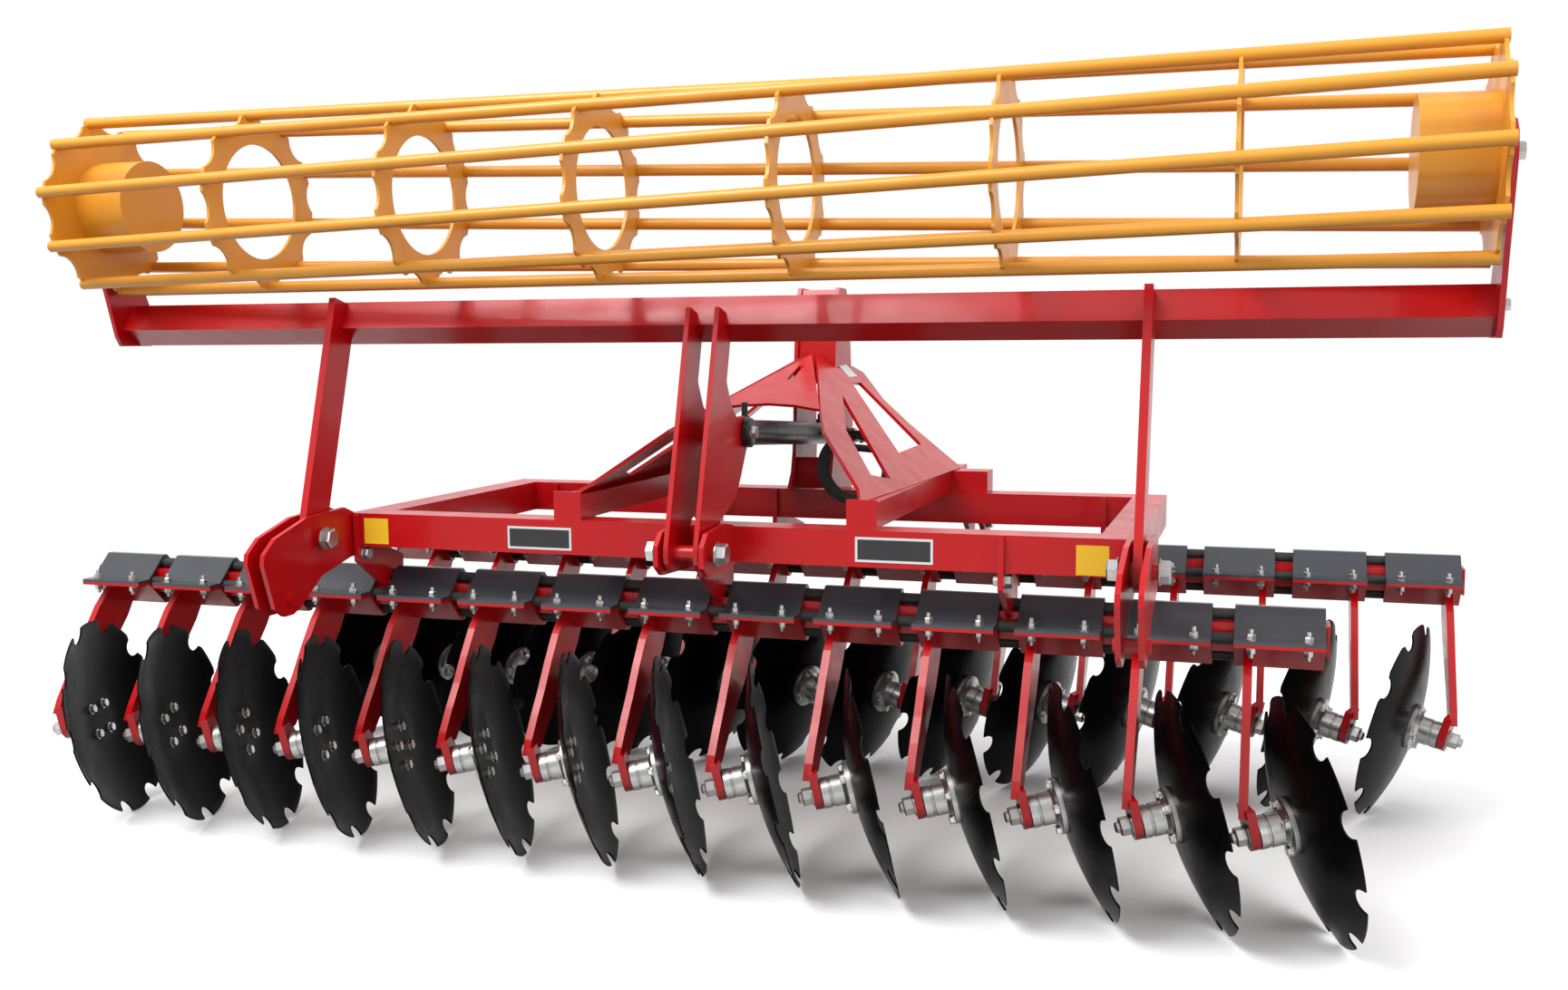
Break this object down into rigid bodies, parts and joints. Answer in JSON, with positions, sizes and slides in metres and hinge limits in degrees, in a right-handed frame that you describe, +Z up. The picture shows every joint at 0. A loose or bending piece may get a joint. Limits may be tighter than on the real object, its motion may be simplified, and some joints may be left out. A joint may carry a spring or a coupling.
{
  "type": "disc tiller",
  "caption": "Compact rear-mounted disc tiller: two rows of notched dished discs on rubber-held arms, linkage headstock and a cage roller raised on arms by a cylinder",
  "frame": {"origin": "centre of the bounding box at floor level", "axes": "+X to the right seen from behind, across the rows; +Y the driving direction; +Z up"},
  "size_m": [3.862, 1.631, 1.948],
  "materials": {
    "red_paint": "satin",
    "slate_paint": "satin",
    "roller_paint": "satin",
    "black_paint": "gloss",
    "disc_black": "gloss",
    "steel": "satin",
    "rubber": "matte"
  },
  "bodies": {
    "frame": {"frame_front_beam": "red_paint", "frame_rear_beam": "red_paint", "frame_side_members": "red_paint", "front_clamp_covers": "slate_paint", "front_disc_arms": "red_paint", "front_disc_beam": "red_paint", "front_hangers": "red_paint", "front_rubber_rolls": "rubber", "headstock_cover": "red_paint", "headstock_fins": "red_paint", "hitch_channels": "red_paint", "hose_coil": "rubber", "hose_fittings": "steel", "hose_runs": "rubber", "lower_link_cheeks": "red_paint", "lower_link_pins": "steel", "mast_plates": "red_paint", "rear_clamp_covers": "slate_paint", "rear_disc_arms": "red_paint", "rear_disc_beam": "red_paint", "rear_hangers": "red_paint", "rear_rubber_rolls": "rubber", "roller_arm_brackets": "red_paint"},
    "roller_frame": {"roller_beam": "red_paint", "roller_side_arms": "red_paint", "roller_middle_arm": "red_paint", "roller_end_brackets": "red_paint"},
    "roller": {"roller_bars": "roller_paint", "roller_rings": "roller_paint"},
    "barrel": {"cylinder_barrel": "black_paint"},
    "rod": {"cylinder_rod": "steel", "cylinder_eye": "black_paint"},
    "disc_front_01_body": {"disc_front_01": "disc_black"},
    "disc_front_02_body": {"disc_front_02": "disc_black"},
    "disc_front_03_body": {"disc_front_03": "disc_black"},
    "disc_front_04_body": {"disc_front_04": "disc_black"},
    "disc_front_05_body": {"disc_front_05": "disc_black"},
    "disc_front_06_body": {"disc_front_06": "disc_black"},
    "disc_front_07_body": {"disc_front_07": "disc_black"},
    "disc_front_08_body": {"disc_front_08": "disc_black"},
    "disc_front_09_body": {"disc_front_09": "disc_black"},
    "disc_front_10_body": {"disc_front_10": "disc_black"},
    "disc_front_11_body": {"disc_front_11": "disc_black"},
    "disc_front_12_body": {"disc_front_12": "disc_black"},
    "disc_front_13_body": {"disc_front_13": "disc_black"},
    "disc_front_14_body": {"disc_front_14": "disc_black"},
    "disc_rear_01_body": {"disc_rear_01": "disc_black"},
    "disc_rear_02_body": {"disc_rear_02": "disc_black"},
    "disc_rear_03_body": {"disc_rear_03": "disc_black"},
    "disc_rear_04_body": {"disc_rear_04": "disc_black"},
    "disc_rear_05_body": {"disc_rear_05": "disc_black"},
    "disc_rear_06_body": {"disc_rear_06": "disc_black"},
    "disc_rear_07_body": {"disc_rear_07": "disc_black"},
    "disc_rear_08_body": {"disc_rear_08": "disc_black"},
    "disc_rear_09_body": {"disc_rear_09": "disc_black"},
    "disc_rear_10_body": {"disc_rear_10": "disc_black"},
    "disc_rear_11_body": {"disc_rear_11": "disc_black"},
    "disc_rear_12_body": {"disc_rear_12": "disc_black"},
    "disc_rear_13_body": {"disc_rear_13": "disc_black"},
    "disc_rear_14_body": {"disc_rear_14": "disc_black"}
  },
  "joints": [
    {"name": "roller_lift", "type": "hinge", "parent": "frame", "child": "roller_frame", "pos_m": [0.071, -0.5775, 0.828], "axis": [1, 0, 0], "range_deg": [0, 125]},
    {"name": "roller_spin", "type": "hinge", "parent": "roller_frame", "child": "roller", "pos_m": [0.071, -0.4835, 1.709], "axis": [1, 0, 0], "continuous": true},
    {"name": "cylinder_tilt", "type": "hinge", "parent": "frame", "child": "barrel", "pos_m": [0.071, 0.6345, 1.04], "axis": [1, 0, 0], "range_deg": [-0.2, 8.24]},
    {"name": "cylinder_stroke", "type": "slide", "parent": "barrel", "child": "rod", "axis": [0, -0.9979, 0.0654], "range_m": [0, 0.704]},
    {"name": "disc_front_01_spin", "type": "hinge", "parent": "frame", "child": "disc_front_01_body", "pos_m": [-1.379, 0.4495, 0.24359], "axis": [-0.926, 0.308, 0.2181], "continuous": true},
    {"name": "disc_front_02_spin", "type": "hinge", "parent": "frame", "child": "disc_front_02_body", "pos_m": [-1.129, 0.4495, 0.24359], "axis": [-0.926, 0.308, 0.2181], "continuous": true},
    {"name": "disc_front_03_spin", "type": "hinge", "parent": "frame", "child": "disc_front_03_body", "pos_m": [-0.879, 0.4495, 0.24359], "axis": [-0.926, 0.308, 0.2181], "continuous": true},
    {"name": "disc_front_04_spin", "type": "hinge", "parent": "frame", "child": "disc_front_04_body", "pos_m": [-0.629, 0.4495, 0.24359], "axis": [-0.926, 0.308, 0.2181], "continuous": true},
    {"name": "disc_front_05_spin", "type": "hinge", "parent": "frame", "child": "disc_front_05_body", "pos_m": [-0.379, 0.4495, 0.24359], "axis": [-0.926, 0.308, 0.2181], "continuous": true},
    {"name": "disc_front_06_spin", "type": "hinge", "parent": "frame", "child": "disc_front_06_body", "pos_m": [-0.129, 0.4495, 0.24359], "axis": [-0.926, 0.308, 0.2181], "continuous": true},
    {"name": "disc_front_07_spin", "type": "hinge", "parent": "frame", "child": "disc_front_07_body", "pos_m": [0.121, 0.4495, 0.24359], "axis": [-0.926, 0.308, 0.2181], "continuous": true},
    {"name": "disc_front_08_spin", "type": "hinge", "parent": "frame", "child": "disc_front_08_body", "pos_m": [0.371, 0.4495, 0.24359], "axis": [-0.926, 0.308, 0.2181], "continuous": true},
    {"name": "disc_front_09_spin", "type": "hinge", "parent": "frame", "child": "disc_front_09_body", "pos_m": [0.621, 0.4495, 0.24359], "axis": [-0.926, 0.308, 0.2181], "continuous": true},
    {"name": "disc_front_10_spin", "type": "hinge", "parent": "frame", "child": "disc_front_10_body", "pos_m": [0.871, 0.4495, 0.24359], "axis": [-0.926, 0.308, 0.2181], "continuous": true},
    {"name": "disc_front_11_spin", "type": "hinge", "parent": "frame", "child": "disc_front_11_body", "pos_m": [1.121, 0.4495, 0.24359], "axis": [-0.926, 0.308, 0.2181], "continuous": true},
    {"name": "disc_front_12_spin", "type": "hinge", "parent": "frame", "child": "disc_front_12_body", "pos_m": [1.371, 0.4495, 0.24359], "axis": [-0.926, 0.308, 0.2181], "continuous": true},
    {"name": "disc_front_13_spin", "type": "hinge", "parent": "frame", "child": "disc_front_13_body", "pos_m": [1.621, 0.4495, 0.24359], "axis": [-0.926, 0.308, 0.2181], "continuous": true},
    {"name": "disc_front_14_spin", "type": "hinge", "parent": "frame", "child": "disc_front_14_body", "pos_m": [1.871, 0.4495, 0.24359], "axis": [-0.926, 0.308, 0.2181], "continuous": true},
    {"name": "disc_rear_01_spin", "type": "hinge", "parent": "frame", "child": "disc_rear_01_body", "pos_m": [-1.871, -0.5255, 0.24359], "axis": [0.926, 0.308, 0.2181], "continuous": true},
    {"name": "disc_rear_02_spin", "type": "hinge", "parent": "frame", "child": "disc_rear_02_body", "pos_m": [-1.621, -0.5255, 0.24359], "axis": [0.926, 0.308, 0.2181], "continuous": true},
    {"name": "disc_rear_03_spin", "type": "hinge", "parent": "frame", "child": "disc_rear_03_body", "pos_m": [-1.371, -0.5255, 0.24359], "axis": [0.926, 0.308, 0.2181], "continuous": true},
    {"name": "disc_rear_04_spin", "type": "hinge", "parent": "frame", "child": "disc_rear_04_body", "pos_m": [-1.121, -0.5255, 0.24359], "axis": [0.926, 0.308, 0.2181], "continuous": true},
    {"name": "disc_rear_05_spin", "type": "hinge", "parent": "frame", "child": "disc_rear_05_body", "pos_m": [-0.871, -0.5255, 0.24359], "axis": [0.926, 0.308, 0.2181], "continuous": true},
    {"name": "disc_rear_06_spin", "type": "hinge", "parent": "frame", "child": "disc_rear_06_body", "pos_m": [-0.621, -0.5255, 0.24359], "axis": [0.926, 0.308, 0.2181], "continuous": true},
    {"name": "disc_rear_07_spin", "type": "hinge", "parent": "frame", "child": "disc_rear_07_body", "pos_m": [-0.371, -0.5255, 0.24359], "axis": [0.926, 0.308, 0.2181], "continuous": true},
    {"name": "disc_rear_08_spin", "type": "hinge", "parent": "frame", "child": "disc_rear_08_body", "pos_m": [-0.121, -0.5255, 0.24359], "axis": [0.926, 0.308, 0.2181], "continuous": true},
    {"name": "disc_rear_09_spin", "type": "hinge", "parent": "frame", "child": "disc_rear_09_body", "pos_m": [0.129, -0.5255, 0.24359], "axis": [0.926, 0.308, 0.2181], "continuous": true},
    {"name": "disc_rear_10_spin", "type": "hinge", "parent": "frame", "child": "disc_rear_10_body", "pos_m": [0.379, -0.5255, 0.24359], "axis": [0.926, 0.308, 0.2181], "continuous": true},
    {"name": "disc_rear_11_spin", "type": "hinge", "parent": "frame", "child": "disc_rear_11_body", "pos_m": [0.629, -0.5255, 0.24359], "axis": [0.926, 0.308, 0.2181], "continuous": true},
    {"name": "disc_rear_12_spin", "type": "hinge", "parent": "frame", "child": "disc_rear_12_body", "pos_m": [0.879, -0.5255, 0.24359], "axis": [0.926, 0.308, 0.2181], "continuous": true},
    {"name": "disc_rear_13_spin", "type": "hinge", "parent": "frame", "child": "disc_rear_13_body", "pos_m": [1.129, -0.5255, 0.24359], "axis": [0.926, 0.308, 0.2181], "continuous": true},
    {"name": "disc_rear_14_spin", "type": "hinge", "parent": "frame", "child": "disc_rear_14_body", "pos_m": [1.379, -0.5255, 0.24359], "axis": [0.926, 0.308, 0.2181], "continuous": true}
  ],
  "couplings": [
    {"joint": "cylinder_tilt", "follows": "roller_lift", "ratio": 0.064344},
    {"joint": "cylinder_stroke", "follows": "roller_lift", "m_per_rad": 0.3208}
  ]
}
